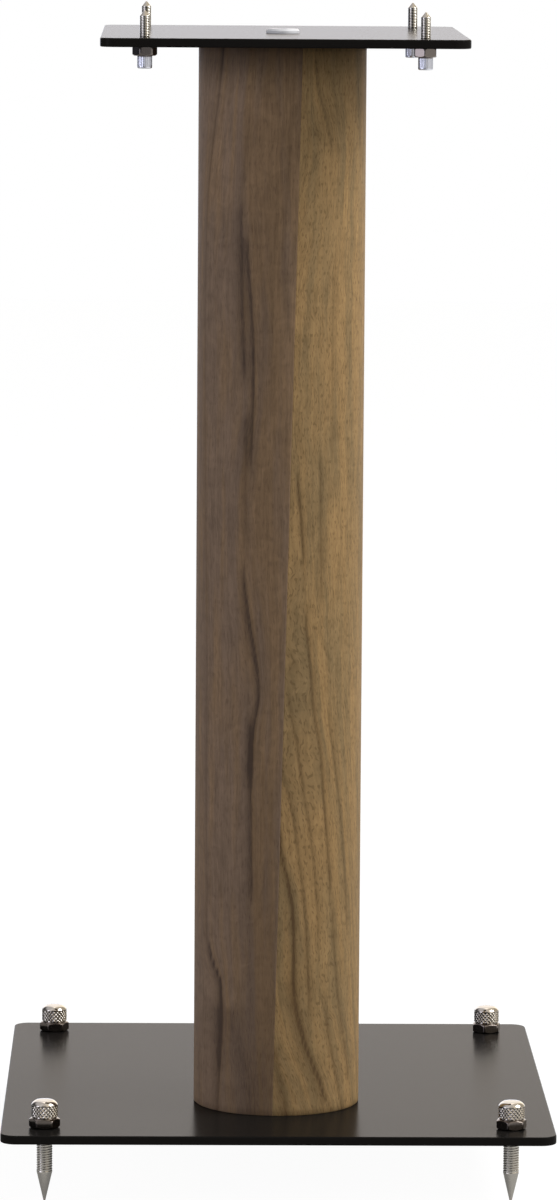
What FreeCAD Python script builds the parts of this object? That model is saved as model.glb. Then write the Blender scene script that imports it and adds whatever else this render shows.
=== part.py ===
import FreeCAD, Part
import math
import os

# A floor-standing speaker stand: two steel plates joined by one veneered round
# column, adjustable spikes under the base plate and pointed pins on the top plate.
# Millimetres, +Z up. The origin is on the floor under the middle of the base
# plate, and the front faces -Y.

# ---- driving dimensions -------------------------------------------------
base_width = 280.0            # base plate, left to right
base_depth = 300.0            # base plate, front to back
base_thickness = 4.5
top_width = 183.0             # top plate, left to right
top_depth = 216.0             # top plate, front to back
top_thickness = 4.5
plate_corner_radius = 8.0     # corners of both plates, seen from above
plate_edge_round = 0.7        # softened edges of both plates

column_diameter = 85.0        # over the veneer
column_height = 544.5         # between the plates
column_setback = 93.0         # column axis, behind the front edges of both plates
column_end_chamfer = 0.5      # on the tube's ends
veneer_thickness = 0.6
seam_offset_low = -2.6        # where the two veneer leaves meet at the base plate,
seam_offset_high = 9.4        # and under the top plate: right of the column's axis
core_bore = 58.0
plug_floor = 9.0              # solid wood behind an insert's hole

screw_diameter = 8.0          # bolts between the plates and the column
screw_length = 22.0           # under the head
screw_head_diameter = 17.0
screw_head_height = 2.2
screw_head_chamfer = 1.0
screw_socket_flats = 5.0
screw_socket_depth = 3.0
screw_hole_play = 0.3         # radial, in the plates
insert_wall = 2.0
insert_length = 19.0
insert_flange_width = 2.5     # beyond the insert's sleeve
insert_flange_thickness = 1.5

spike_diameter = 8.0
spike_reach = 33.5            # below the base plate
spike_point_length = 15.5
spike_tip_radius = 0.4
base_nut_flats = 14.0
base_nut_height = 5.0
cap_diameter = 13.7
cap_height = 9.0
cap_chamfer = 1.1             # round the cap's upper rim
cap_foot_chamfer = 0.5
cap_crown = 2.0               # solid metal above the cap's blind bore
base_hardware_inset = 22.0    # spike axes from the base plate's edges

pin_diameter = 5.0
pin_rise = 13.0               # above the top plate
pin_point_length = 2.7
pin_tip_radius = 0.25
top_nut_flats = 11.0
top_nut_height = 4.8
pin_head_diameter = 7.4
pin_head_height = 6.3
pin_head_chamfer = 0.7
pin_head_crown = 1.5          # solid metal below the head's blind bore
top_hardware_inset = 22.0     # pin axes from the top plate's edges

nut_bevel = 0.07              # height of a nut's corner bevel, share of its width
nut_face = 0.96               # round face inside the bevels, share of its width

running_clearance = 0.05      # radial, a screw thread in its nut, knob or plate
glue_line = 0.05              # radial, glued and pressed seats
end_gap = 0.2                 # left between a shank's end and its blind hole
thread_end_chamfer = 0.1      # share of the shank's diameter

# ---- heights and places that follow ---------------------------------------
base_under = spike_reach
base_top = base_under + base_thickness
column_top = base_top + column_height
top_upper = column_top + top_thickness

column_x = 0.0
column_y = column_setback - base_depth / 2
top_middle_y = top_depth / 2 - base_depth / 2
screw_hole_radius = screw_diameter / 2 + screw_hole_play
insert_bore_radius = screw_diameter / 2 + running_clearance
insert_radius = insert_bore_radius + insert_wall
insert_flange_radius = insert_radius + insert_flange_width
cap_bore_depth = cap_height - cap_crown
pin_head_bore_depth = pin_head_height - pin_head_crown
veneer_inner_radius = column_diameter / 2 - veneer_thickness
core_radius = veneer_inner_radius - glue_line
plug_radius = core_bore / 2 - glue_line

sides = {"left": -1, "right": 1}
ends = {"front": -1, "back": 1}
corners = [
    (end + "_" + side, sides[side], ends[end])
    for end in ends
    for side in sides
]
spike_x = base_width / 2 - base_hardware_inset
spike_y = base_depth / 2 - base_hardware_inset
pin_x = top_width / 2 - top_hardware_inset
pin_y = top_depth / 2 - top_hardware_inset


# ---- shapes ----------------------------------------------------------------
def turned(outline, x, y):
    """A solid turned about the upright axis through x, y from (radius, z) points."""
    points = [FreeCAD.Vector(radius, 0, z) for radius, z in outline]
    face = Part.Face(Part.makePolygon(points + points[:1]))
    solid = face.revolve(FreeCAD.Vector(0, 0, 0), FreeCAD.Vector(0, 0, 1), 360)
    solid.translate(FreeCAD.Vector(x, y, 0))
    return solid


def upright_cylinder(radius, low, high, x, y):
    place = FreeCAD.Vector(x, y, low)
    return Part.makeCylinder(radius, high - low, place)


def hexagon_prism(flats, low, high, x, y, turn=0.0):
    """A six-sided bar; turn rotates it, and at 0 a flat faces the front."""
    reach = flats / math.sqrt(3)
    points = []
    for corner in range(7):
        angle = math.radians(60 * corner + turn)
        place = (x + reach * math.cos(angle), y + reach * math.sin(angle), low)
        points.append(FreeCAD.Vector(*place))
    face = Part.Face(Part.makePolygon(points))
    return face.extrude(FreeCAD.Vector(0, 0, high - low))


def rounded_plate(width, depth, thickness, low, middle_y):
    """A flat plate with round corners, its upper and lower edges softened."""
    corner = FreeCAD.Vector(-width / 2, middle_y - depth / 2, low)
    plate = Part.makeBox(width, depth, thickness, corner)
    upright = [e for e in plate.Edges if abs(e.tangentAt(e.FirstParameter).z) > 0.9]
    plate = plate.makeFillet(plate_corner_radius, upright)
    softening = min(plate_edge_round, thickness / 3)
    rims = [edge for edge in plate.Edges if edge.BoundBox.ZLength < 1e-6]
    return plate.makeFillet(softening, rims)


def lock_nut(flats, height, shank_diameter, low, x, y, turn):
    """A hexagon nut with its corners bevelled at both faces."""
    bevel = nut_bevel * flats
    corner_radius = flats / math.sqrt(3)
    face_radius = nut_face * flats / 2
    high = low + height
    outline = [
        (0, low), (face_radius, low), (corner_radius, low + bevel),
        (corner_radius, high - bevel), (face_radius, high), (0, high),
    ]
    bar = hexagon_prism(flats, low, high, x, y, turn)
    nut = bar.common(turned(outline, x, y))
    hole = shank_diameter / 2 + running_clearance
    return nut.cut(upright_cylinder(hole, low - 1, high + 1, x, y))


def headed_bolt(seat, direction, x, y):
    """A low-headed bolt whose head lies on seat and whose shank runs back from it.

    direction is +1 where the head is above its seat and -1 where it is below.
    """
    head_radius = screw_head_diameter / 2
    shank_radius = screw_diameter / 2
    end_chamfer = thread_end_chamfer * screw_diameter
    crown = seat + direction * screw_head_height
    tip = seat - direction * screw_length
    bevel = direction * screw_head_chamfer
    outline = [
        (0, tip),
        (shank_radius - end_chamfer, tip),
        (shank_radius, tip + direction * end_chamfer),
        (shank_radius, seat),
        (head_radius, seat),
        (head_radius, crown - bevel),
        (head_radius - screw_head_chamfer, crown),
        (0, crown),
    ]
    bolt = turned(outline, x, y)
    socket_end = crown - direction * screw_socket_depth
    low, high = sorted([socket_end, crown + direction])
    return bolt.cut(hexagon_prism(screw_socket_flats, low, high, x, y))


# ---- plates ------------------------------------------------------------------
def make_base_plate():
    plate = rounded_plate(base_width, base_depth, base_thickness, base_under, 0)
    thread = spike_diameter / 2 + running_clearance
    for name, side, end in corners:
        place = (side * spike_x, end * spike_y)
        plate = plate.cut(upright_cylinder(thread, base_under - 1, base_top + 1, *place))
    hole = upright_cylinder(
        screw_hole_radius, base_under - 1, base_top + 1, column_x, column_y)
    return plate.cut(hole)


def make_top_plate():
    plate = rounded_plate(top_width, top_depth, top_thickness, column_top, top_middle_y)
    thread = pin_diameter / 2 + running_clearance
    for name, side, end in corners:
        place = (side * pin_x, top_middle_y + end * pin_y)
        plate = plate.cut(upright_cylinder(thread, column_top - 1, top_upper + 1, *place))
    hole = upright_cylinder(
        screw_hole_radius, column_top - 1, top_upper + 1, column_x, column_y)
    return plate.cut(hole)


# ---- column ------------------------------------------------------------------
def make_column_core():
    inner = core_bore / 2
    outline = [
        (inner, base_top), (core_radius, base_top),
        (core_radius, column_top), (inner, column_top),
    ]
    return turned(outline, column_x, column_y)


def make_veneer_leaf(side):
    """One leaf of the veneer: the wall on one side of a slightly leaning seam.

    side is -1 for the left leaf and +1 for the right one.
    """
    outer_radius = column_diameter / 2
    outline = [
        (veneer_inner_radius, base_top),
        (outer_radius - column_end_chamfer, base_top),
        (outer_radius, base_top + column_end_chamfer),
        (outer_radius, column_top - column_end_chamfer),
        (outer_radius - column_end_chamfer, column_top),
        (veneer_inner_radius, column_top),
    ]
    wall = turned(outline, column_x, column_y)
    far = side * column_diameter
    points = [
        FreeCAD.Vector(column_x + x, column_y - column_diameter, z)
        for x, z in [
            (seam_offset_low, base_top), (far, base_top),
            (far, column_top), (seam_offset_high, column_top),
        ]
    ]
    face = Part.Face(Part.makePolygon(points + points[:1]))
    half = face.extrude(FreeCAD.Vector(0, 2 * column_diameter, 0))
    return wall.common(half)


def make_plug(outer_face, direction, plate_thickness):
    """A disc glued into the tube's end; direction points into the column."""
    flange = insert_flange_radius + glue_line
    hole = insert_radius + glue_line
    reach = max(insert_length, screw_length - plate_thickness)
    recess = outer_face + direction * insert_flange_thickness
    bottom = outer_face + direction * (reach + end_gap)
    back = bottom + direction * plug_floor
    outline = [
        (flange, outer_face), (plug_radius, outer_face), (plug_radius, back),
        (0, back), (0, bottom), (hole, bottom), (hole, recess), (flange, recess),
    ]
    return turned(outline, column_x, column_y)


def make_insert(outer_face, direction):
    """A flanged sleeve with a screw thread, let into the plug."""
    flange_back = outer_face + direction * insert_flange_thickness
    back = outer_face + direction * insert_length
    outline = [
        (insert_bore_radius, outer_face),
        (insert_flange_radius, outer_face),
        (insert_flange_radius, flange_back),
        (insert_radius, flange_back),
        (insert_radius, back),
        (insert_bore_radius, back),
    ]
    return turned(outline, column_x, column_y)


# ---- corner hardware -----------------------------------------------------------
def make_base_spike(x, y):
    """A pointed spike, whose bare length under the plate is a face of its own."""
    radius = spike_diameter / 2
    end = base_top + base_nut_height + cap_bore_depth - end_gap
    end_chamfer = thread_end_chamfer * spike_diameter
    outline = [
        (0, 0), (spike_tip_radius, 0), (radius, spike_point_length),
        (radius, base_under),
        (radius, end - end_chamfer), (radius - end_chamfer, end), (0, end),
    ]
    return turned(outline, x, y)


def make_spike_cap(x, y):
    """The knob that turns a spike: it stands on the lock nut."""
    radius = cap_diameter / 2
    bore = spike_diameter / 2 + running_clearance
    low = base_top + base_nut_height
    high = low + cap_height
    outline = [
        (bore, low), (radius - cap_foot_chamfer, low), (radius, low + cap_foot_chamfer),
        (radius, high - cap_chamfer), (radius - cap_chamfer, high), (0, high),
        (0, low + cap_bore_depth), (bore, low + cap_bore_depth),
    ]
    return turned(outline, x, y)


def make_top_pin(x, y):
    """A pointed pin, whose bare length above the plate is a face of its own."""
    radius = pin_diameter / 2
    tip = top_upper + pin_rise
    end = column_top - top_nut_height - pin_head_bore_depth + end_gap
    end_chamfer = thread_end_chamfer * pin_diameter
    outline = [
        (0, tip), (pin_tip_radius, tip), (radius, tip - pin_point_length),
        (radius, top_upper),
        (radius, end + end_chamfer), (radius - end_chamfer, end), (0, end),
    ]
    return turned(outline, x, y)


def make_pin_head(x, y):
    """The small ribbed head that turns a pin: it hangs under the lock nut."""
    radius = pin_head_diameter / 2
    bore = pin_diameter / 2 + running_clearance
    high = column_top - top_nut_height
    low = high - pin_head_height
    outline = [
        (0, low), (radius - pin_head_chamfer, low), (radius, low + pin_head_chamfer),
        (radius, high), (bore, high), (bore, high - pin_head_bore_depth),
        (0, high - pin_head_bore_depth),
    ]
    return turned(outline, x, y)


# ---- the stand -------------------------------------------------------------------
# each lock nut stops where it jams, so the hexagons stand at different angles
base_nut_turns = {"front_left": 0, "front_right": 14, "back_left": 6, "back_right": 20}
top_nut_turns = {"front_left": 3, "front_right": 24, "back_left": 12, "back_right": 9}

stand = {
    "base_plate": make_base_plate(),
    "top_plate": make_top_plate(),
    "column_core": make_column_core(),
    "veneer_left": make_veneer_leaf(-1),
    "veneer_right": make_veneer_leaf(1),
    "bottom_plug": make_plug(base_top, 1, base_thickness),
    "top_plug": make_plug(column_top, -1, top_thickness),
    "bottom_insert": make_insert(base_top, 1),
    "top_insert": make_insert(column_top, -1),
    "bottom_screw": headed_bolt(base_under, -1, column_x, column_y),
    "top_screw": headed_bolt(top_upper, 1, column_x, column_y),
}
for name, side, end in corners:
    x, y = side * spike_x, end * spike_y
    stand["base_spike_" + name] = make_base_spike(x, y)
    stand["spike_cap_" + name] = make_spike_cap(x, y)
    stand["base_nut_" + name] = lock_nut(
        base_nut_flats, base_nut_height, spike_diameter, base_top, x, y,
        base_nut_turns[name])
    x, y = side * pin_x, top_middle_y + end * pin_y
    stand["top_pin_" + name] = make_top_pin(x, y)
    stand["pin_head_" + name] = make_pin_head(x, y)
    stand["top_nut_" + name] = lock_nut(
        top_nut_flats, top_nut_height, pin_diameter, column_top - top_nut_height,
        x, y, top_nut_turns[name])

os.makedirs("parts", exist_ok=True)
for node, shape in stand.items():
    if shape.ShapeType != "Solid":
        shape = shape.Solids[0]
    if not shape.isValid() or shape.Volume <= 0:
        raise ValueError(node + " is not a sound solid")
    shape.exportStep(os.path.join("parts", node + ".step"))
    box = shape.BoundBox
    spans = (box.XLength, box.YLength, box.ZLength)
    print(node, "%.1f cm3" % (shape.Volume / 1000), "%.1f x %.1f x %.1f" % spans)
print(len(stand), "nodes")
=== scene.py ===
import math

import bpy
import numpy as np
from mathutils import Matrix, Vector


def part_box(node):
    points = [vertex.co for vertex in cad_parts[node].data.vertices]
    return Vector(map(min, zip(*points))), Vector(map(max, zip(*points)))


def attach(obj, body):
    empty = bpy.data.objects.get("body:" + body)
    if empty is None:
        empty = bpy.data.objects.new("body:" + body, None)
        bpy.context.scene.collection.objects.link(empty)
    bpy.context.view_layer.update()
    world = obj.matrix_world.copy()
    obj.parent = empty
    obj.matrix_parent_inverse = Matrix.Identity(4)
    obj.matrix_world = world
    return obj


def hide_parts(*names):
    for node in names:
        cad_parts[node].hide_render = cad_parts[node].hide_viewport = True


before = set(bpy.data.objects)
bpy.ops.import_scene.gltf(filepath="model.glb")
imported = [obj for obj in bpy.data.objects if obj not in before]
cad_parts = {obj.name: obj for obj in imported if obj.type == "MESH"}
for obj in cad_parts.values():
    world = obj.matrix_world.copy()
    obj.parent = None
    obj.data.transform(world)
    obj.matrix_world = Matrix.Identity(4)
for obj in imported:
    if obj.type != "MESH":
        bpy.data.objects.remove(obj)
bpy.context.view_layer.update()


# ---- The view ------------------------------------------------------------------------
# The stand is seen through a long lens from three metres in front, a little to its
# left and above its top plate, so the column stays nearly parallel-sided.
camera_place = (-0.05467, -3.2010, 0.68586)
look_down = 7.032                # degrees, as the next two
look_right = 0.990
camera_lean = 0.378
sensor_height = 24.0             # mm
lens_length = 123.86             # mm

lens = bpy.data.cameras.new("view")
lens.sensor_fit = "VERTICAL"
lens.sensor_height = sensor_height
lens.lens = lens_length
view = bpy.data.objects.new("view", lens)
bpy.context.scene.collection.objects.link(view)
view.matrix_world = (
    Matrix.Translation(camera_place)
    @ Matrix.Rotation(math.radians(-look_right), 4, "Z")
    @ Matrix.Rotation(math.radians(90 - look_down), 4, "X")
    @ Matrix.Rotation(math.radians(camera_lean), 4, "Z")
)
bpy.context.scene.camera = view
bpy.context.scene.view_settings.view_transform = "Standard"


# ---- The studio ----------------------------------------------------------------------
# A pale floor in a white surround, lit by a low band of soft light all round, a high
# softbox on the right and a weak one on the left. Polished metal sees a white wall behind
# it, a narrow panel on the left, a wide one on the right and one overhead.
def linear(code):
    """The linear colour of an sRGB hex code, by the sRGB curve, with alpha 1."""
    parts = np.array([int(code[place:place + 2], 16) for place in (1, 3, 5)]) / 255
    low, high = parts / 12.92, ((parts + 0.055) / 1.055) ** 2.4
    return (*np.where(parts <= 0.04045, low, high).tolist(), 1.0)


def add(tree, kind, sockets=(), **settings):
    """Adds a shader node with its settings. sockets pairs an input's name or number with
    a value or with the output that feeds it."""
    new = tree.nodes.new("ShaderNode" + kind)
    for name, value in settings.items():
        setattr(new, name, value)
    for name, value in dict(sockets).items():
        if isinstance(value, bpy.types.NodeSocket):
            tree.links.new(value, new.inputs[name])
        else:
            new.inputs[name].default_value = value
    return new


white = "#ffffff"
room_views = (
    # what polished metal sees: degrees to the right of the front, brightness
    (-155, 1.88), (-142, 0.08), (-68, 0.10), (-58, 0.95), (-32, 0.95), (-20, 0.04),
    (10, 0.04), (24, 0.95), (62, 0.95), (80, 0.60), (140, 0.50), (155, 1.88),
)
room_above = 0.75                # brightness of the panel overhead
room_tints = ("#eff2ff", "#fff7e8")      # the panels on the left and on the right
wall_tints = ("#ecf2ff", "#fff8ef")      # the wall at the horizon and higher up
band_light = 1.75                # soft light from the band, which metal doesn't mirror
high_light = 0.10                # and from the rest of the room
# The room's parts lie on a sphere round the stand. These are shares of its radius.
above_starts, above_full = 0.45, 0.80    # height of the panel overhead
sides_reach = 0.7                # each side's tint is full this far out
wall_turns, wall_turned = 0.06, 0.14     # height where the wall's tint changes
band_height = 0.20
band_half, band_faded = 0.08, 0.24       # from there to where the band dims and is over

world = bpy.data.worlds.new("white studio")
bpy.context.scene.world = world
world.use_nodes = True
tree = world.node_tree
tree.nodes.clear()
path = add(tree, "LightPath").outputs
toward = add(tree, "SeparateXYZ", {0: add(tree, "TexCoord").outputs["Generated"]}).outputs
# Where a view points, right round from the back: 0.5 lies in front.
ahead = add(tree, "Math", {0: toward["Y"], 1: -1.0}, operation="MULTIPLY").outputs[0]
turned_by = add(tree, "Math", {0: toward["X"], 1: ahead}, operation="ARCTAN2").outputs[0]
turned_by = add(tree, "Math", {0: turned_by, 1: 0.5 / math.pi, 2: 0.5},
                operation="MULTIPLY_ADD").outputs[0]
panels = add(tree, "ValToRGB", {0: turned_by})
stops = panels.color_ramp.elements       # it has two to begin with
for number, (degrees, bright) in enumerate(room_views):
    share = degrees / 360 + 0.5
    stop = stops[number] if number < 2 else stops.new(share)
    stop.position, stop.color = share, (bright, bright, bright, 1)
overhead = add(tree, "MapRange", {
    "Value": toward["Z"], "From Min": above_starts, "From Max": above_full,
    "To Max": room_above}, interpolation_type="SMOOTHSTEP").outputs[0]
mirrored = add(tree, "Math", {0: panels.outputs[0], 1: overhead}, operation="MAXIMUM")
rightward = add(tree, "MapRange", {
    "Value": toward["X"], "From Min": -sides_reach, "From Max": sides_reach},
    interpolation_type="SMOOTHSTEP").outputs[0]
sides = add(tree, "Mix", {
    "Factor": rightward, "A": linear(room_tints[0]), "B": linear(room_tints[1])},
    data_type="RGBA").outputs[2]
upward = add(tree, "MapRange", {
    "Value": toward["Z"], "From Min": wall_turns, "From Max": wall_turned},
    interpolation_type="SMOOTHSTEP").outputs[0]
walls = add(tree, "Mix", {
    "Factor": upward, "A": linear(wall_tints[0]), "B": linear(wall_tints[1])},
    data_type="RGBA").outputs[2]
tints = add(tree, "Mix", {"Factor": 1.0, "A": sides, "B": walls}, data_type="RGBA",
            blend_type="MULTIPLY").outputs[2]
shiny = add(tree, "Math", {
    0: path["Is Glossy Ray"], 1: path["Is Transmission Ray"]}, operation="MAXIMUM")
off_band = add(tree, "Math", {0: toward["Z"], 1: band_height}, operation="SUBTRACT")
off_band = add(tree, "Math", {0: off_band.outputs[0]}, operation="ABSOLUTE").outputs[0]
soft = add(tree, "MapRange", {
    "Value": off_band, "From Min": band_half, "From Max": band_faded,
    "To Min": band_light, "To Max": high_light}, interpolation_type="SMOOTHSTEP").outputs[0]
lit = add(tree, "Mix", {"Factor": shiny.outputs[0], "A": soft, "B": mirrored.outputs[0]})
seen = add(tree, "Mix", {"Factor": path["Is Camera Ray"], "A": lit.outputs[0], "B": 1.0})
tinted = add(tree, "Mix", {"Factor": shiny.outputs[0], "A": linear(white), "B": tints},
             data_type="RGBA").outputs[2]
glow = add(tree, "Background", {"Color": tinted, "Strength": seen.outputs[0]})
add(tree, "OutputWorld", {"Surface": glow.outputs[0]})

lit_point = Vector((0, -0.06, 0.3))      # on the column, where both softboxes point
softboxes = {
    # name: place in metres, width, height, brightness, colour
    "softbox_right": ((1.75, -0.40, 2.15), 1.1, 1.1, 52.0, white),
    "softbox_left": ((-2.10, -1.10, 0.75), 0.9, 1.2, 9.0, "#efeeff"),
}
for name, (place, width, height, power, colour) in softboxes.items():
    lamp = bpy.data.lights.new(name, "AREA")
    lamp.shape = "RECTANGLE"
    lamp.size, lamp.size_y, lamp.energy = width, height, power
    lamp.color = linear(colour)[:3]
    box = bpy.data.objects.new(name, lamp)
    bpy.context.scene.collection.objects.link(box)
    aim = (lit_point - Vector(place)).to_track_quat("-Z", "Y")
    box.matrix_world = Matrix.Translation(place) @ aim.to_matrix().to_4x4()
    box.visible_camera = False


def material(name):
    """An empty material and its node tree."""
    new = bpy.data.materials.new(name)
    new.use_nodes = True
    new.node_tree.nodes.clear()
    return new, new.node_tree


MM = 0.001                       # metres in a millimetre


def new_mesh(name, points, faces):
    """A smooth mesh object from points in millimetres and from arrays of faces, each
    array with its own number of corners to a face."""
    mesh = bpy.data.meshes.new(name)
    mesh.vertices.add(len(points))
    mesh.vertices.foreach_set("co", (np.asarray(points) * MM).astype(np.float32).ravel())
    sizes = [face.shape[1] * len(face) for face in faces]
    counts = np.concatenate([np.full(len(face), face.shape[1]) for face in faces])
    mesh.loops.add(sum(sizes))
    mesh.loops.foreach_set("vertex_index", np.concatenate([face.ravel() for face in faces]))
    mesh.polygons.add(len(counts))
    mesh.polygons.foreach_set("loop_start", np.cumsum(counts) - counts)
    mesh.polygons.foreach_set("use_smooth", np.full(len(counts), True))
    mesh.update(calc_edges=True)
    mesh.validate()
    new = bpy.data.objects.new(name, mesh)
    bpy.context.scene.collection.objects.link(new)
    return new


floor_reach = 6000.0             # mm from the stand to the paper's edges
floor_paper = "#6a6968"
floor_glow = 0.95                # its own light towards the camera, so it reads as white
mirrored_paper = "#a09d98"       # the paper as metal sees it, with the stand's shadow
mirrored_glow_and_painted_light = (0.19, 0.70)     # its own light in a mirror, near the stand and further right, where the rise is painted light
glow_rises, glow_risen = 0.10, 0.50      # m to the right of the middle, over which that painted light rises

corners = np.array([[-1, -1, 0], [1, -1, 0], [1, 1, 0], [-1, 1, 0]]) * floor_reach
floor = new_mesh("floor", corners, [np.array([[0, 1, 2, 3]])])
# Matt paper gives back an even white towards the camera. It takes the stand's soft shadow and
# no shine. In mirrors its glow rises to the right: painted light.
paper, tree = material("matt white background paper")
path = add(tree, "LightPath").outputs
shiny = add(tree, "Math", {
    0: path["Is Glossy Ray"], 1: path["Is Transmission Ray"]}, operation="MAXIMUM")
place = add(tree, "SeparateXYZ", {0: add(tree, "TexCoord").outputs["Object"]}).outputs
# Painted light: in mirrors the paper glows brighter towards the right.
painted_light_rise = add(tree, "MapRange", {
    "Value": place["X"], "From Min": glow_rises, "From Max": glow_risen,
    "To Min": mirrored_glow_and_painted_light[0], "To Max": mirrored_glow_and_painted_light[1]},
    interpolation_type="SMOOTHSTEP").outputs[0]
level = add(tree, "Math", {0: shiny.outputs[0], 1: painted_light_rise}, operation="MULTIPLY")
level = add(tree, "Math", {0: path["Is Camera Ray"], 1: floor_glow, 2: level.outputs[0]},
            operation="MULTIPLY_ADD")
own = add(tree, "Emission", {"Color": linear(white), "Strength": level.outputs[0]})
sheet = add(tree, "Mix", {"Factor": shiny.outputs[0], "A": linear(floor_paper),
                          "B": linear(mirrored_paper)}, data_type="RGBA").outputs[2]
lit = add(tree, "BsdfDiffuse", {"Color": sheet})
both = add(tree, "AddShader", {0: own.outputs[0], 1: lit.outputs[0]})
add(tree, "OutputMaterial", {"Surface": both.outputs[0]})
floor.data.materials.append(paper)


# ---- The plates ----------------------------------------------------------------------
# Two flat steel plates, cut with rounded corners and powder coated satin black. The
# column is bolted between them, and their corners carry the spikes and the pins.
coat_black = "#211f1d"
coat_pit_shade = "#171615"            # painted shade in the pits between its grains
coat_roughness = 0.22
coat_spread = 0.03               # of the roughness, either way
coat_gloss = 0.0165              # specular level, low because the coat is full of fines
orange_peel = 1.6                # mm from crest to crest
peel_depth = 0.01                # mm
coat_fines = 0.25                # mm
fines_share = 0.3                # of the peel's depth

# The flow of the baked powder leaves a shallow orange peel and a finer matt grain, so the
# coat is nearly black from above and turns grey as it mirrors the wall at a low angle.
coat, tree = material("satin black powder coat")
where = add(tree, "TexCoord").outputs["Object"]
peel = add(tree, "TexNoise", {"Vector": where, "Scale": 1 / (orange_peel * MM), "Detail": 1.0})
fines = add(tree, "TexNoise", {"Vector": where, "Scale": 1 / (coat_fines * MM), "Detail": 0.0})
relief = add(tree, "Math", {0: fines.outputs[0], 1: fines_share, 2: peel.outputs[0]},
             operation="MULTIPLY_ADD")
bump = add(tree, "Bump", {
    "Height": relief.outputs[0], "Strength": 0.35, "Distance": peel_depth * MM})
dull = add(tree, "MapRange", {"Value": peel.outputs[0], "To Min": coat_roughness - coat_spread,
                              "To Max": coat_roughness + coat_spread})
# The grain's low points take the darker colour: painted shade in its pits.
shade = add(tree, "Mix", {"Factor": fines.outputs[0], "A": linear(coat_pit_shade),
                          "B": linear(coat_black)}, data_type="RGBA")
skin = add(tree, "BsdfPrincipled", {
    "Base Color": shade.outputs[2], "Roughness": dull.outputs[0],
    "Specular IOR Level": coat_gloss, "Normal": bump.outputs[0]})
add(tree, "OutputMaterial", {"Surface": skin.outputs[0]})


def finish(node, look):
    """Gives a CAD node this material in all its slots."""
    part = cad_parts[node]
    if not part.material_slots:
        part.data.materials.append(look)
    for place in part.material_slots:
        place.material = look


for node in ("base_plate", "top_plate"):
    finish(node, coat)


# ---- The column's core ---------------------------------------------------------------
# A thick-walled tube of fibreboard with a plug glued into each end. It carries the load
# and is hidden by the veneer and the plates.
fibre_length = 1.2               # mm
fibre_relief = 0.05              # mm
fibre_colours = ("#8a6a48", "#b4946c")

# Pressed fibres give a warm tan with a faint short-fibred fleck.
board, tree = material("raw medium density fibreboard")
where = add(tree, "TexCoord").outputs["Object"]
fibres = add(tree, "TexNoise", {
    "Vector": where, "Scale": 1 / (fibre_length * MM), "Detail": 3.0, "Distortion": 0.6})
tan = add(tree, "Mix", {"Factor": fibres.outputs[0], "A": linear(fibre_colours[0]),
                        "B": linear(fibre_colours[1])}, data_type="RGBA")
bump = add(tree, "Bump", {
    "Height": fibres.outputs[0], "Strength": 0.3, "Distance": fibre_relief * MM})
skin = add(tree, "BsdfPrincipled", {
    "Base Color": tan.outputs[2], "Roughness": 0.85, "Normal": bump.outputs[0]})
add(tree, "OutputMaterial", {"Surface": skin.outputs[0]})
for node in ("column_core", "bottom_plug", "top_plug"):
    finish(node, board)


# ---- The veneer ----------------------------------------------------------------------
# Two leaves of walnut, 0.6 mm thick, glued round the core and finished with a satin
# lacquer. They meet at the front and the back along seams that lean to the right.
veneer_thickness = 0.6           # mm, as everything below
end_chamfer = 0.5                # at the leaves' upper and lower ends
seam_low = -2.6                  # right of the column's axis, at the base plate
seam_high = 9.4                  # and under the top plate
leaf_step = 0.55                 # between the grid's columns
leaf_rise = 4.0                  # between its rows
least_gap = 0.2                  # between two growth lines
streak_fade = 4.0                # past a streak's end, over which it fades out
streak_taper = 0.12              # and the share of its length that this grows by
streak_spread = 3.0              # how many times softer its side away from the seam is

left_low, left_high = [np.array(corner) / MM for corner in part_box("veneer_left")]
column_radius = -left_low[0]
column_middle = (left_low[1] + left_high[1]) / 2
column_foot, column_head = left_low[2], left_high[2]
column_height = column_head - column_foot


def smooth_line(points, height):
    """Where a growth line lies, in mm round the column, at each height. points are
    (height, place) pairs, joined by cubic curves whose slope at a point is the mean
    slope between its neighbours."""
    rise, place = np.array(sorted(points), float).T
    slope = np.gradient(place, rise)
    span = np.clip(np.searchsorted(rise, height) - 1, 0, len(rise) - 2)
    length = rise[span + 1] - rise[span]
    share = np.clip((height - rise[span]) / length, 0, 1)
    start = (2 * share ** 3 - 3 * share ** 2 + 1) * place[span]
    leave = (share ** 3 - 2 * share ** 2 + share) * slope[span] * length
    end = (3 * share ** 2 - 2 * share ** 3) * place[span + 1]
    arrive = (share ** 3 - share ** 2) * slope[span + 1] * length
    return start + leave + end + arrive


def across_grain(around, height, lines):
    """The distance across the grain, in mm, that a point of the leaf has. It grows
    evenly between growth lines and is the same all the way along each of them."""
    places = [smooth_line(points, height) for points in lines]
    marks = [np.mean([place for rise, place in points]) for points in lines]
    grain = np.full_like(around, marks[0]) + np.minimum(around - places[0], 0)
    for index in range(len(lines) - 1):
        gap = np.maximum(places[index + 1] - places[index], least_gap)
        share = np.clip((around - places[index]) / gap, 0, 1)
        grain += share * (marks[index + 1] - marks[index])
    return grain + np.maximum(around - places[-1], 0)


def streak_and_shade_depth(around, height, streaks, side):
    """How dark the mineral streaks, and the bands of painted shade listed with them, are at
    each point. Across a streak the stain falls off as exp(-distance / width) towards the seam
    and more slowly away from it, or the other way round for a negative width. It fades out past
    the streak's ends."""
    depth = np.zeros_like(around)
    for points, width, strength in streaks:
        rises = [rise for rise, place in points]
        low, high = min(rises), max(rises)
        fade = streak_fade + streak_taper * (high - low)
        ends = np.clip((height - low + fade) / fade, 0, 1)
        ends *= np.clip((high - height + fade) / fade, 0, 1)
        offset = side * np.sign(width) * (around - smooth_line(points, height))
        stain = np.exp(-np.abs(offset / (width * np.where(offset > 0, streak_spread, 1))))
        depth += strength * stain * ends ** 2 * (3 - 2 * ends)
    return depth


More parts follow.
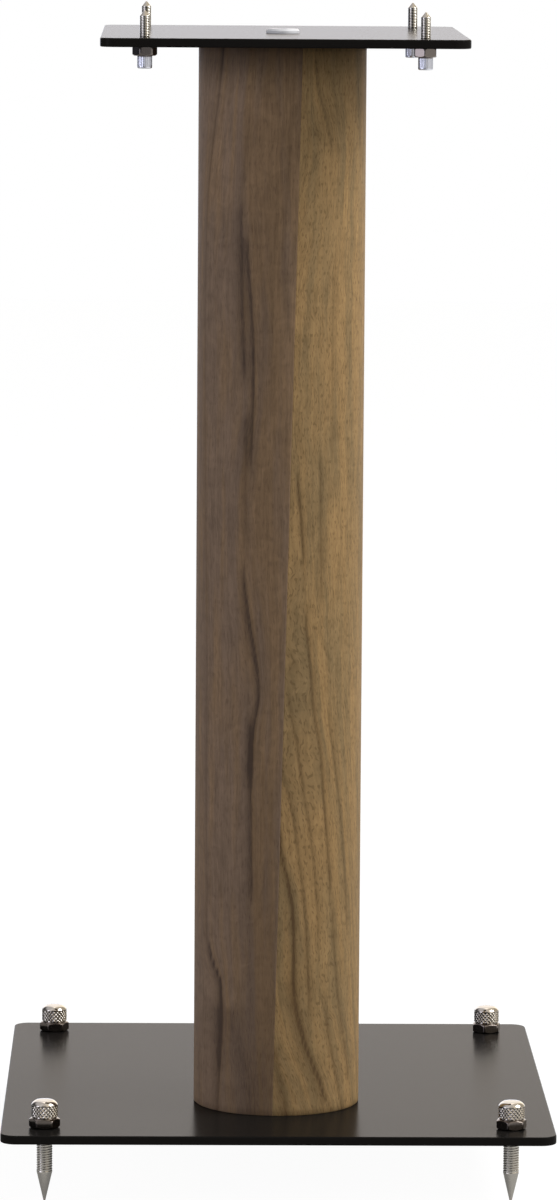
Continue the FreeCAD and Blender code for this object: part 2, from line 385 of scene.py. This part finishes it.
def shell(name, outer, inner):
    """A closed skin: an outer grid, an inner one, and a strip round their four sides."""
    rows, columns = outer.shape[:2]
    index = np.arange(rows * columns).reshape(rows, columns)
    quads = np.stack([index[:-1, :-1], index[:-1, 1:], index[1:, 1:], index[1:, :-1]], -1)
    quads = quads.reshape(-1, 4)
    edge = np.concatenate([
        index[0, :-1], index[:-1, -1], index[-1, :0:-1], index[:0:-1, 0]])
    following = np.roll(edge, -1)
    behind = rows * columns
    strip = np.stack([following, edge, edge + behind, following + behind], -1)
    points = np.concatenate([outer.reshape(-1, 3), inner.reshape(-1, 3)])
    return new_mesh(name, points, [quads, quads[:, ::-1] + behind, strip])


def leaf_grid(side, depth):
    """One leaf's wall as a grid: rows up the column, columns round it from seam to seam.
    Each point lies on a circle at its angle from the front, and a seam's angle is the
    arcsine of its place over the radius. side is -1 for the left leaf, and depth is how
    far the wall lies under the surface."""
    inside = np.arange(leaf_rise, column_height - leaf_rise / 2, leaf_rise)
    height = np.concatenate([
        [0, end_chamfer], inside, [column_height - end_chamfer, column_height]])
    radius = np.full_like(height, column_radius - depth)
    radius[[0, -1]] = column_radius - max(end_chamfer, depth)
    seam = np.arcsin((seam_low + (seam_high - seam_low) * height / column_height) / radius)
    columns = int(math.pi * column_radius / leaf_step)
    share = np.linspace(0, 1, columns)[None, :]
    start, end = (-math.pi - seam, seam) if side < 0 else (seam, math.pi - seam)
    angle = start[:, None] + (end - start)[:, None] * share
    height = height[:, None] + 0 * angle
    x = radius[:, None] * np.sin(angle)
    y = column_middle - radius[:, None] * np.cos(angle)
    return angle, height, np.stack([x, y, column_foot + height], -1)


# Growth lines as (height, place) in mm: height above the base plate, and place round
# the column to the right of the middle of its front.
left_lines = [
    [(0, -133), (545, -133)],
    [(0, -80), (200, -84), (400, -82), (545, -74)],
    [(0, -56), (150, -60), (400, -62), (545, -52)],
    [(0, -34), (29, -32.3), (60, -31.5), (69, -32.5), (76, -37), (81, -40), (118, -43),
     (240, -44.5), (390, -48), (450, -47), (473, -45), (497, -40.7), (522, -36), (545, -33)],
    [(0, -25), (120, -30), (300, -33), (430, -31), (545, -25)],
    [(0, -11), (60, -13), (119, -13.8), (181, -14.2), (200, -13.2), (215, -10.7),
     (231, -11.8), (256, -16.3), (274, -19), (330, -20), (357, -15.5), (389, -14.4),
     (440, -18), (490, -21), (545, -17)],
    [(0, -5), (200, -4), (400, -4), (545, -3)],
    [(0, 12), (545, 16)],
]
right_lines = [
    [(0, 27), (18, 22), (38, 13.7), (63, 8.2), (85, 7.8), (107, 6.9), (138, 0.5),
     (173, -3.5), (200, -6.5), (250, -9), (545, -6)],
    [(0, 32), (37, 20), (62, 16), (110, 13), (135, 9.6), (159, 6), (175, 1.5), (188, 0),
     (250, -3), (545, 3)],
    [(0, 38), (50, 26), (100, 21), (140, 16.8), (168, 12), (197, 7.5), (214, 4), (260, 2),
     (400, 2), (545, 9)],
    [(0, 46), (60, 34), (120, 28), (163, 23.6), (187, 21.3), (208, 17.4), (229, 15.5),
     (251, 13), (288, 11.3), (326, 7.9), (380, 6.5), (440, 8), (495, 12), (545, 13)],
    [(0, 56), (60, 46), (140, 37), (175, 31.5), (202, 26.6), (268, 21.4), (335, 20.2),
     (400, 19), (460, 23), (495, 25.3), (523, 17.5), (545, 15.5)],
    [(0, 68), (140, 50), (260, 42), (400, 40), (545, 40)],
    [(0, 133), (545, 133)],
]
left_streaks_and_shade = [
    # points along the streak, its width on the side of the seam, how dark it is
    (left_lines[3], 0.9, 0.55),
    ([(473, -45), (497, -40.7), (522, -36), (545, -33)], 0.8, 0.5),
    ([(420, 1), (460, 1.5), (500, 4)], 0.6, 0.5),
    ([(360, -4), (420, -5), (470, -3)], 1.2, 0.35),
    ([(0, -1), (80, -3), (165, -4)], 3.0, 0.40),
    ([(385, -19.5), (425, -21), (467, -21.5), (507, -17.5)], 1.6, 0.85),
    ([(340, -15.5), (357, -14.8), (389, -14.4), (440, -18)], 0.8, 1.0),
    ([(302, -18), (330, -18.5), (354, -18.2)], 1.5, 0.6),
    ([(181, -14.2), (200, -13.2), (215, -10.7), (231, -11.8), (256, -16.3), (274, -19)],
     0.8, 1.15),
    ([(119, -13.8), (193, -15)], 0.6, 0.70),
    ([(60, -14.5), (119, -15.5), (193, -16), (250, -18)], 2.0, 0.26),
    ([(29, -32.3), (60, -31.5), (69, -32.5), (76, -37), (81, -40)], 0.8, 0.7),
    # These two wide soft bands are painted shade. They darken the left leaf towards its foot,
    # above the dark base plate.
    ([(0, -14), (25, -16), (50, -26)], 9.0, 0.5),
    ([(0, -8), (70, -12), (110, -16)], 14.0, 0.16),
    ([(470, -24), (500, -22), (524, -20)], 14.0, -0.45),     # a pale patch
]
right_streaks = [
    ([(0, 30), (18, 22), (38, 13.7), (63, 8.2), (85, 7.8), (107, 6.9), (138, 0.5)],
     0.6, 0.75),
    ([(10, 25), (18, 22), (38, 13.7), (63, 8.2), (85, 7.8), (107, 6.9), (138, 0.5)],
     -1.5, 0.60),
    ([(0, 5), (12, 3.5), (22, 1), (35, -2)], -2.2, 0.75),
    ([(0, 14), (40, 8), (66, 5)], 4.0, 0.25),
    ([(62, 16), (110, 13), (135, 9.6), (159, 6), (175, 1.5)], 0.7, 0.85),
    ([(100, 21), (140, 16.8), (168, 12), (197, 7.5), (214, 4)], 0.7, 0.8),
    ([(120, 28), (163, 23.6), (187, 21.3), (208, 17.4), (229, 15.5), (251, 13)], 0.7, 0.95),
    ([(100, 41), (140, 37), (175, 31.5), (202, 26.6)], 0.7, 0.75),
    ([(20, 43), (60, 34), (100, 30)], 0.8, 0.8),
    ([(0, 38), (30, 30), (50, 26)], 0.8, 0.8),
    ([(495, 25.3), (510, 21), (523, 17.5), (535, 16)], 0.5, 0.8),
    ([(470, 3), (500, 7), (530, 9)], 0.5, 0.6),
    ([(288, 11.3), (305, 10), (326, 7.9)], 0.5, 1.2),
    ([(268, 21.4), (335, 20.2)], 0.7, 0.7),
    ([(345, 28), (400, 27), (440, 29)], 0.9, 0.5),
]

tone_span = (0.34, 0.66)         # noise at which the wood is all cool and all warm
wood_level = 0.29                # its brightness before the noise is added
heart_warmth = 0.22              # which the heart's side adds to that noise
heart_fall = 0.12                # share of the brightness that the heart's side takes
streak_fall = 0.26               # and that a full streak takes round its dark line
most_streak = 1.3                # where streaks cross
pore_span = (0.56, 0.66)         # noise at which a pore starts and is full
pore_gathering = 0.25            # how strongly the mottle draws the pores together
vein_span = (1.28, 2.0)          # streak depth and noise at which its line starts, is full
vein_raggedness = 0.9            # share of the noise in that sum
pore_relief = 0.05               # mm
wood_roughness = 0.55
lacquer_gloss = 0.085            # specular level of the thin satin lacquer


def walnut(name, warm, cool, vein, swirl, pores, pore_depth, heart, vein_depth):
    """Sliced walnut under satin lacquer, from a warm and a cool brown. The attribute figure
    holds mm across the grain, mm along it and the depth of the mineral streaks and of painted
    shade, so all the figure follows the growth lines. swirl multiplies how far the fibres
    wander, pores is how much sooner than pore_span the noise opens a pore, and heart is where,
    in mm across the grain, the wood turns warmer and darker."""
    look, tree = material(name)
    figure = add(tree, "Attribute", attribute_name="figure").outputs["Vector"]
    place = add(tree, "SeparateXYZ", {0: figure}).outputs
    streak = add(tree, "Math", {0: place[2], 1: most_streak}, operation="MINIMUM").outputs[0]
    inner = add(tree, "MapRange", {
        "Value": place[0], "From Min": heart[0], "From Max": heart[1],
        "To Min": -0.5, "To Max": 0.5}, interpolation_type="SMOOTHSTEP").outputs[0]

    def drawn(laid, width, length, detail=2.0, warp=0.0, rough=0.5):
        """Noise with grains of this width and length, in mm along the figure."""
        drawn_out = add(tree, "Mapping", {"Vector": laid, "Scale": (1 / width, 1 / length, 0)})
        return add(tree, "TexNoise", {
            "Vector": drawn_out.outputs[0], "Scale": 1.0, "Detail": detail,
            "Roughness": rough, "Distortion": warp}, noise_dimensions="2D").outputs[0]

    # The fibres wander sideways in long waves and in short ones.
    wander = 0.0
    for width, length, reach in ((10.0, 34.0, 2.4 * swirl), (3.0, 7.0, 0.9 * swirl)):
        wander = add(tree, "Math", {0: drawn(figure, width, length), 1: reach, 2: wander},
                     operation="MULTIPLY_ADD").outputs[0]
    aside = add(tree, "CombineXYZ", {0: wander}).outputs[0]
    laid = add(tree, "VectorMath", {0: figure, 1: aside}, operation="ADD").outputs[0]

    bands = drawn(laid, 6.0, 90.0, 3.0)                          # a few years' growth
    lines = drawn(laid, 1.1, 36.0 / swirl, 3.0, 0.0, 0.6)        # one year's
    fibres = drawn(laid, 0.42, 7.0, 2.0)
    mottle = drawn(laid, 6.0, 8.0, 3.0, 0.8, 0.6)
    open_pores = drawn(laid, 0.42, 4.2 / swirl, 0.0)

    # Broad bands of a warm and a cool brown, warmer on the side of the heart.
    sided = add(tree, "Math", {0: inner, 1: heart_warmth, 2: bands}, operation="MULTIPLY_ADD")
    tone = add(tree, "MapRange", {
        "Value": sided.outputs[0], "From Min": tone_span[0], "From Max": tone_span[1]})
    base = add(tree, "Mix", {"Factor": tone.outputs[0], "A": linear(cool),
                             "B": linear(warm)}, data_type="RGBA").outputs[2]
    # Its brightness swings with the years, the fibres and the mottle.
    level = wood_level
    for source, swing in ((lines, 0.62), (fibres, 0.26), (mottle, 0.36)):
        level = add(tree, "Math", {0: source, 1: swing, 2: level},
                    operation="MULTIPLY_ADD").outputs[0]
    for source, fall in ((streak, streak_fall), (inner, heart_fall)):
        shade = add(tree, "Math", {0: source, 1: -fall, 2: 1.0}, operation="MULTIPLY_ADD")
        level = add(tree, "Math", {0: level, 1: shade.outputs[0]},
                    operation="MULTIPLY").outputs[0]
    wood = add(tree, "VectorMath", {0: base, "Scale": level}, operation="SCALE").outputs[0]
    # Open pores gather where the mottle is low.
    clusters = add(tree, "Math", {0: mottle, 1: -pore_gathering, 2: open_pores},
                   operation="MULTIPLY_ADD").outputs[0]
    holes = add(tree, "MapRange", {
        "Value": clusters, "From Min": pore_span[0] - pores, "From Max": pore_span[1] - pores,
        "To Max": pore_depth}).outputs[0]
    wood = add(tree, "Mix", {"Factor": holes, "A": wood, "B": linear(vein)},
               data_type="RGBA").outputs[2]
    # The streaks' dark lines are ragged, because the stain follows single fibres.
    ragged = add(tree, "Math", {0: lines, 1: fibres}, operation="ADD").outputs[0]
    ragged = add(tree, "Math", {0: ragged, 1: vein_raggedness, 2: streak},
                 operation="MULTIPLY_ADD")
    depth = add(tree, "MapRange", {
        "Value": ragged.outputs[0], "From Min": vein_span[0], "From Max": vein_span[1],
        "To Max": vein_depth})
    wood = add(tree, "Mix", {"Factor": depth.outputs[0], "A": wood, "B": linear(vein)},
               data_type="RGBA").outputs[2]
    sunk = add(tree, "Math", {0: fibres, 1: holes}, operation="SUBTRACT")
    bump = add(tree, "Bump", {
        "Height": sunk.outputs[0], "Strength": 0.3, "Distance": pore_relief * MM})
    skin = add(tree, "BsdfPrincipled", {
        "Base Color": wood, "Roughness": wood_roughness,
        "Specular IOR Level": lacquer_gloss, "Normal": bump.outputs[0]})
    add(tree, "OutputMaterial", {"Surface": skin.outputs[0]})
    return look


# The quarter cut leaf is dark and cool, with close straight lines and few pores. The crown
# cut one is paler and golden, with arched lines, open pores and no edge to its heart.
leaves = {
    "veneer_left": (-1, left_lines, left_streaks_and_shade, walnut(
        "walnut veneer, quarter cut", warm="#8b7156", cool="#806b59", vein="#42352f",
        swirl=1.0, pores=0.02, pore_depth=0.25, heart=(-20, -12), vein_depth=0.80)),
    "veneer_right": (1, right_lines, right_streaks, walnut(
        "walnut veneer, crown cut", warm="#a8885c", cool="#927a56", vein="#533f2b",
        swirl=1.5, pores=0.05, pore_depth=0.40, heart=(-200, 200), vein_depth=0.76)),
}
for node, (side, lines, streaks, look) in leaves.items():
    angle, height, outer = leaf_grid(side, 0.0)
    inner = leaf_grid(side, veneer_thickness)[2]
    leaf = shell(node + "_wood", outer, inner)
    around = angle * column_radius
    figure = np.stack([
        across_grain(around, height, lines), height,
        streak_and_shade_depth(around, height, streaks, side)], -1).reshape(-1, 3)
    stored = leaf.data.attributes.new("figure", "FLOAT_VECTOR", "POINT")
    stored.data.foreach_set("vector", np.tile(figure, (2, 1)).astype(np.float32).ravel())
    leaf.data.materials.append(look)
    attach(leaf, "stand")
    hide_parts(node)


# ---- The inserts and bolts -----------------------------------------------------------
# A flanged brass insert is let into each plug, and a low-headed bolt through each plate
# screws into it and clamps the column. The upper head shows on the top plate.
ring_spread = 0.02               # share of a ring's closeness that its noise has sideways
ring_relief = 0.005              # mm
scuff_size = 0.8                 # mm
worn_span = (0.6, 1.4)           # sum of both noises where the metal is least, most worn
top_shade_slope = 0.90                 # upward part of a normal where the painted shade on a top begins


def turned_metal(name, colour, roughness, marks, mark_pitch, top_shade=white):
    """Bare or plated metal. Turning leaves rings mark_pitch mm apart up the piece, and marks is
    how much they and fine scuffs change the roughness. top_shade is a tint multiplied into
    faces that point upward: painted shade that makes a top darker than its side."""
    look, tree = material(name)
    where = add(tree, "TexCoord").outputs["Object"]
    closeness = 1 / (mark_pitch * MM)
    rings = add(tree, "Mapping", {"Vector": where, "Scale": (
        ring_spread * closeness, ring_spread * closeness, closeness)})
    turning = add(tree, "TexNoise", {
        "Vector": rings.outputs[0], "Scale": 1.0, "Detail": 2.0}).outputs[0]
    scuffs = add(tree, "TexNoise", {
        "Vector": where, "Scale": 1 / (scuff_size * MM), "Detail": 3.0}).outputs[0]
    worn = add(tree, "Math", {0: turning, 1: scuffs}, operation="ADD").outputs[0]
    dull = add(tree, "MapRange", {
        "Value": worn, "From Min": worn_span[0], "From Max": worn_span[1],
        "To Min": roughness - marks, "To Max": roughness + marks})
    tint = add(tree, "Mix", {"Factor": scuffs, "A": linear(colour), "B": linear(white)},
               data_type="RGBA", blend_type="MULTIPLY").outputs[2]
    facing = add(tree, "SeparateXYZ", {0: add(tree, "NewGeometry").outputs["Normal"]}).outputs
    # Painted shade: faces that point upward are multiplied by top_shade.
    end = add(tree, "MapRange", {"Value": facing["Z"], "From Min": top_shade_slope}).outputs[0]
    tint = add(tree, "Mix", {"Factor": end, "A": tint, "B": linear(top_shade)},
               data_type="RGBA", blend_type="MULTIPLY").outputs[2]
    bump = add(tree, "Bump", {
        "Height": turning, "Strength": 0.15, "Distance": ring_relief * MM})
    skin = add(tree, "BsdfPrincipled", {
        "Base Color": tint, "Metallic": 1.0, "Roughness": dull.outputs[0],
        "Normal": bump.outputs[0]})
    add(tree, "OutputMaterial", {"Surface": skin.outputs[0]})
    return look


# Turned brass has a warm yellow shine, a little broken by the rings of the tool.
brass = turned_metal("turned brass", "#c9a25a", roughness=0.25, marks=0.06, mark_pitch=0.15)

flake_size = 0.12                # mm
flake_colours = ("#c6c7cc", "#e6e7ea")

# A zinc flake coat is a dull pale grey: fine flakes in a binder, with no clear mirror.
bolt_zinc, tree = material("zinc flake coated steel")
where = add(tree, "TexCoord").outputs["Object"]
flakes = add(tree, "TexNoise", {"Vector": where, "Scale": 1 / (flake_size * MM), "Detail": 1.0})
pale = add(tree, "Mix", {"Factor": flakes.outputs[0], "A": linear(flake_colours[0]),
                         "B": linear(flake_colours[1])}, data_type="RGBA")
skin = add(tree, "BsdfPrincipled", {
    "Base Color": pale.outputs[2], "Metallic": 0.3, "Roughness": 0.6})
add(tree, "OutputMaterial", {"Surface": skin.outputs[0]})
for node in ("bottom_insert", "top_insert"):
    finish(node, brass)
for node in ("bottom_screw", "top_screw"):
    finish(node, bolt_zinc)


# ---- The floor spikes ----------------------------------------------------------------
# Four M8 spikes with rolled threads and turned cone points, nickel plated and left
# satin. Each screws down through a tapped hole in a corner of the base plate.
def turned(name, centre, radius, height, closed=False):
    """A turned skin. radius and height are grids of rings by columns, the columns spaced
    evenly round the upright axis through centre. Its ends meet on the axis, or with
    closed its last ring meets its first."""
    rings, columns = radius.shape
    angle = 2 * math.pi * np.arange(columns) / columns
    x = centre[0] + radius * np.cos(angle)
    y = centre[1] + radius * np.sin(angle)
    points = np.stack([x, y, height], -1).reshape(-1, 3)
    index = np.arange(rings * columns).reshape(rings, columns)
    if closed:
        index = np.concatenate([index, index[:1]])
    beside = np.roll(index, -1, 1)
    quads = np.stack([index[:-1], beside[:-1], beside[1:], index[1:]], -1).reshape(-1, 4)
    if closed:
        return new_mesh(name, points, [quads])
    poles = len(points) + np.array([0, 1])
    first = np.stack([beside[0], index[0], np.full(columns, poles[0])], -1)
    last = np.stack([index[-1], beside[-1], np.full(columns, poles[1])], -1)
    ends = [[*centre, height[0].mean()], [*centre, height[-1].mean()]]
    return new_mesh(name, np.concatenate([points, ends]), [quads, first, last])


def thread(height, columns, pitch, depth, low, high, runout):
    """How far a screw thread is cut in at each height and column: a helix of flat crests
    and roots joined by S-shaped flanks, which fades out over runout mm at both ends."""
    crest, flank = 0.35, 0.50    # shares of half the pitch
    turn = np.arange(columns)[None, :] / columns
    wave = np.abs(((height[:, None] / pitch - turn) % 1) * 2 - 1)
    groove = np.clip((wave - crest) / flank, 0, 1)
    groove = groove * groove * (3 - 2 * groove)
    ends = np.clip((height - low) / runout, 0, 1) * np.clip((high - height) / runout, 0, 1)
    return depth * groove * ends[:, None]


corner_names = [end + "_" + side for end in ("front", "back") for side in ("left", "right")]


def middle(node):
    """A node's middle in plan, and its lowest and highest level, in mm."""
    low, high = [np.array(corner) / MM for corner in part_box(node)]
    return (low + high)[:2] / 2, low[2], high[2]


spike_radius = 4.0               # mm, as the rest
spike_pitch = 1.25
spike_thread_depth = 0.34        # under half of a real one's, to look as photographed
spike_point_length = 15.5
spike_tip_radius = 0.4
spike_end_chamfer = 0.8
spike_runout = 1.0               # over which the thread fades out at each end
spike_columns = 64               # faces round it
spike_point_rings = 24
rings_per_turn = 10              # faces up one turn of a thread

# Satin nickel is a warm pale grey that blurs what it mirrors.
satin_nickel = turned_metal("nickel plated steel, satin", "#d3d0c9", roughness=0.25,
                            marks=0.04, mark_pitch=0.2)
for corner in corner_names:
    node = "base_spike_" + corner
    centre, low, high = middle(node)
    shoulder = low + spike_point_length
    point = np.linspace(low, shoulder, spike_point_rings)
    ring_rise = spike_pitch / rings_per_turn
    shank = np.arange(shoulder + ring_rise, high - spike_end_chamfer, ring_rise)
    levels = np.concatenate([point, shank, [high - spike_end_chamfer, high]])
    plain = np.interp(levels, [low, shoulder, high - spike_end_chamfer, high], [
        spike_tip_radius, spike_radius, spike_radius, spike_radius - spike_end_chamfer])
    cut = thread(levels, spike_columns, spike_pitch, spike_thread_depth, shoulder,
                 high - spike_end_chamfer, spike_runout)
    radius = plain[:, None] - cut
    spike = turned(node + "_steel", centre, radius, levels[:, None] + 0 * radius)
    spike.data.materials.append(satin_nickel)
    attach(spike, node)
    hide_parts(node)


# ---- The lock nuts -------------------------------------------------------------------
# Hexagon nuts that jam the spikes and the pins against the plates. They are cold formed,
# bevelled at both faces, barrel plated in a dark nickel, and stop at different angles.
def hexagon(flats, angle, turn, softness=34.0):
    """The outline of a hexagon at each angle, its corners a little rounded: the distance
    at which the sum of each side's nearness to that power reaches one."""
    sides = np.radians(turn + 60 * np.arange(6) - 90)[:, None]
    near = np.maximum(np.cos(angle[None, :] - sides), 0)
    return flats / 2 / (near ** softness).sum(0) ** (1 / softness)


nut_columns = 180                # faces round a nut
bevel_rings = 9
nut_bevel = 0.07                 # its height, as a share of the width across flats
nut_face = 0.48                  # radius of the flat face, as such a share
nut_lead = 0.45                  # mm, chamfer where its thread starts
nut_crispness = 14.0             # per mm, of the edge between a flat and the bevel


def lock_nut(name, centre, low, high, flats, bore, turn):
    """A bevelled hexagon nut. Down its side the skin is the smaller of the hexagon and
    the bevel's cone, by a soft minimum, the log of the sum of exponentials, and its
    closed profile comes back up through the bore."""
    bevel = nut_bevel * flats
    face_radius = nut_face * flats
    reach = flats / math.sqrt(3)
    angle = 2 * math.pi * np.arange(nut_columns) / nut_columns
    outline = hexagon(flats, angle, turn)
    down = np.concatenate([
        np.linspace(high, high - bevel, bevel_rings),
        np.linspace(high - bevel, low + bevel, 4)[1:-1],
        np.linspace(low + bevel, low, bevel_rings)])
    cone = face_radius + (reach - face_radius) * np.minimum(high - down, down - low) / bevel
    side = -np.logaddexp(
        -outline[None, :] * nut_crispness, -cone[:, None] * nut_crispness) / nut_crispness
    side[[0, -1]] = np.minimum(side[[0, -1]], face_radius)
    mouth = bore + nut_lead
    inner = np.array([bore, mouth, (mouth + face_radius) / 2])
    upper_levels, lower_levels = [high - nut_lead, high, high], [low, low, low + nut_lead]
    radius = np.concatenate([
        inner[:, None] + 0 * outline, side, inner[::-1, None] + 0 * outline])
    levels = np.concatenate([upper_levels, down, lower_levels])
    return turned(name, centre, radius[::-1], levels[::-1, None] + 0 * radius, closed=True)


nut_turns = {
    # degrees from a flat facing the front
    "base": {"front_left": 0, "front_right": 14, "back_left": 6, "back_right": 20},
    "top": {"front_left": 8, "front_right": 24, "back_left": 12, "back_right": 9},
}
nut_sizes = {"base": (14.0, 4.05), "top": (11.0, 2.55)}      # mm across flats, bore radius

# Dark nickel mirrors sharply but weakly, so a nut's flats turn from black to brown grey.
dark_nickel = turned_metal("nickel plated steel, dark", "#7a736e", roughness=0.13,
                           marks=0.03, mark_pitch=0.25)
for kind, (flats, bore) in nut_sizes.items():
    for corner in corner_names:
        node = kind + "_nut_" + corner
        centre, low, high = middle(node)
        nut = lock_nut(node + "_steel", centre, low, high, flats, bore,
                       nut_turns[kind][corner])
        nut.data.materials.append(dark_nickel)
        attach(nut, node)
        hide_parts(node)


# ---- The spike caps ------------------------------------------------------------------
# A turned knob on each spike, with a diamond knurl rolled into its side and a chamfered
# top, bright nickel plated. Turning it screws the spike up or down.
cap_diameter = 13.7              # mm, as the rest
cap_rounding = 2.5               # across the shoulder
cap_shoulder = 2.2               # and down it
shoulder_chamfer = 0.6           # share of a straight chamfer in it, the rest quarter round
shoulder_rings = 9
cap_land = 0.35                  # plain band between the shoulder and the knurl
cap_land_step = 0.1              # and how far it is turned down
cap_neck = 0.45                  # plain neck under the knurl
cap_neck_height = 0.9
cap_foot = 0.2                   # chamfer at its foot
cap_bore = 4.05
cap_mouth = 0.4                  # chamfer where the bore starts
cap_crown = 2.0                  # solid metal over the bore
cap_eye = 0.4                    # share of the radius where the top's last ring lies
knurl_count = 20                 # diamonds round the cap, coarser than real, to show
knurl_depth = 0.62
knurl_runin = 0.1                # over which it starts above the neck
knurl_runout = 0.15              # and ends under the land
knurl_rings = 56
knurl_columns = 300              # faces round a cap


def knurl(height, columns, count, rise, depth):
    """Diamond knurling: two sets of V grooves that cross, each turning one way round as
    it climbs. At each point the deeper groove counts."""
    turn = count * np.arange(columns)[None, :] / columns
    climb = height[:, None] / rise
    first = np.abs(((turn + climb) % 1) * 2 - 1)
    second = np.abs(((turn - climb) % 1) * 2 - 1)
    return depth * np.maximum(first, second)


# Bright nickel mirrors the room, and the knurl breaks that into points of light and dark. Its
# tops get painted shade, which dims the white wall that they mirror.
bright_nickel = turned_metal("nickel plated steel, bright", "#cbc7c0", roughness=0.09,
                             marks=0.02, mark_pitch=0.25, top_shade="#c2c2c2")
for corner in corner_names:
    node = "spike_cap_" + corner
    centre, low, high = middle(node)
    radius = cap_diameter / 2
    band_low, band_high = low + cap_neck_height, high - cap_shoulder - cap_land
    band = np.linspace(band_low, band_high, knurl_rings)
    # The shoulder lies between a straight chamfer and a quarter round.
    curve = np.linspace(0, math.pi / 2, shoulder_rings)
    straight = shoulder_chamfer * np.linspace(0, 1, shoulder_rings)
    up = straight + (1 - shoulder_chamfer) * np.sin(curve)
    back = straight + (1 - shoulder_chamfer) * (1 - np.cos(curve))
    levels = np.concatenate([
        [high - cap_crown, low + cap_mouth, low, low, low + cap_foot, band_low - knurl_runin],
        band, [band_high + knurl_runout], high - cap_shoulder * (1 - up), [high]])
    neck, land = radius - cap_neck, radius - cap_land_step
    plain = np.concatenate([
        [cap_bore, cap_bore, cap_bore + cap_mouth, neck - cap_foot, neck, neck],
        np.full(knurl_rings, radius), [land],
        land - (cap_rounding - cap_land_step) * back, [radius * cap_eye]])
    rolled = knurl(levels, knurl_columns, knurl_count, 2 * math.pi * radius / knurl_count,
                   knurl_depth)
    inside = (levels >= band_low) & (levels <= band_high)
    grid = plain[:, None] - rolled * inside[:, None]
    cap = turned(node + "_steel", centre, grid, levels[:, None] + 0 * grid)
    cap.data.materials.append(bright_nickel)
    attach(cap, node)
    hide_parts(node)


# ---- The speaker pins ----------------------------------------------------------------
# Four M5 pins with rolled threads and short cone points, bright nickel plated. Each
# screws up through a tapped hole in a corner of the top plate and holds the speaker.
pin_radius = 2.5                 # mm, as the rest
pin_pitch = 0.8
pin_thread_depth = 0.08          # shallow, so that the shank keeps its stripes of light
pin_point_length = 2.7
pin_tip_radius = 0.25
pin_end_chamfer = 0.5
pin_runout = 0.6                 # over which the thread fades out at each end
pin_columns = 48                 # faces round it
pin_point_rings = 12

# Polished nickel shows the dark room and the bright panels as upright stripes.
pin_nickel = turned_metal("nickel plated steel, polished", "#c9c5bc", roughness=0.14,
                          marks=0.02, mark_pitch=0.2)
for corner in corner_names:
    node = "top_pin_" + corner
    centre, low, high = middle(node)
    shoulder = high - pin_point_length
    shank = np.arange(low + pin_end_chamfer, shoulder, pin_pitch / rings_per_turn)
    point = np.linspace(shoulder, high, pin_point_rings)
    levels = np.concatenate([[low], shank, point])
    plain = np.interp(levels, [low, low + pin_end_chamfer, shoulder, high], [
        pin_radius - pin_end_chamfer, pin_radius, pin_radius, pin_tip_radius])
    cut = thread(levels, pin_columns, pin_pitch, pin_thread_depth, low + pin_end_chamfer,
                 shoulder, pin_runout)
    radius = plain[:, None] - cut
    pin = turned(node + "_steel", centre, radius, levels[:, None] + 0 * radius)
    pin.data.materials.append(pin_nickel)
    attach(pin, node)
    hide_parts(node)


# ---- The pin heads -------------------------------------------------------------------
# A small round head on each pin, under its lock nut, with straight ribs rolled into its
# side for the fingers. It turns the pin up or down.
head_diameter = 7.4              # mm, as the rest
head_rounding = 0.7              # at its lower edge
head_edge = 0.3                  # chamfer at its upper edge
head_bore = 2.55
head_mouth = 0.4                 # chamfer where the bore starts
head_crown = 1.5                 # solid metal under the bore
head_eye = 0.4                   # share of the radius where the foot's last ring lies
rib_count = 28
rib_depth = 0.10
rib_rings = 12
rib_columns = 224                # faces round a head
rounding_rings = 7

# Zinc plate is paler and cooler than nickel, and softer in its shine.
zinc = turned_metal("zinc plated steel, pale", "#dfe2ec", roughness=0.30, marks=0.04,
                    mark_pitch=0.2)
for corner in corner_names:
    node = "pin_head_" + corner
    centre, low, high = middle(node)
    radius = head_diameter / 2
    curve = np.linspace(0, math.pi / 2, rounding_rings)
    side = np.linspace(low + head_rounding, high - head_edge, rib_rings)
    levels = np.concatenate([
        [low], low + head_rounding * (1 - np.cos(curve)), side[1:], [high, high],
        [high - head_mouth, low + head_crown]])
    plain = np.concatenate([
        [radius * head_eye], radius - head_rounding + head_rounding * np.sin(curve),
        np.full(rib_rings - 1, radius), [radius - head_edge, head_bore + head_mouth],
        [head_bore, head_bore]])
    ribbed = (levels > low + head_rounding) & (plain == radius)
    turn = rib_count * np.arange(rib_columns)[None, :] / rib_columns
    ribs = rib_depth * (0.5 - 0.5 * np.cos(2 * math.pi * turn)) * ribbed[:, None]
    grid = plain[:, None] - ribs
    head = turned(node + "_steel", centre, grid, levels[:, None] + 0 * grid)
    head.data.materials.append(zinc)
    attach(head, node)
    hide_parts(node)
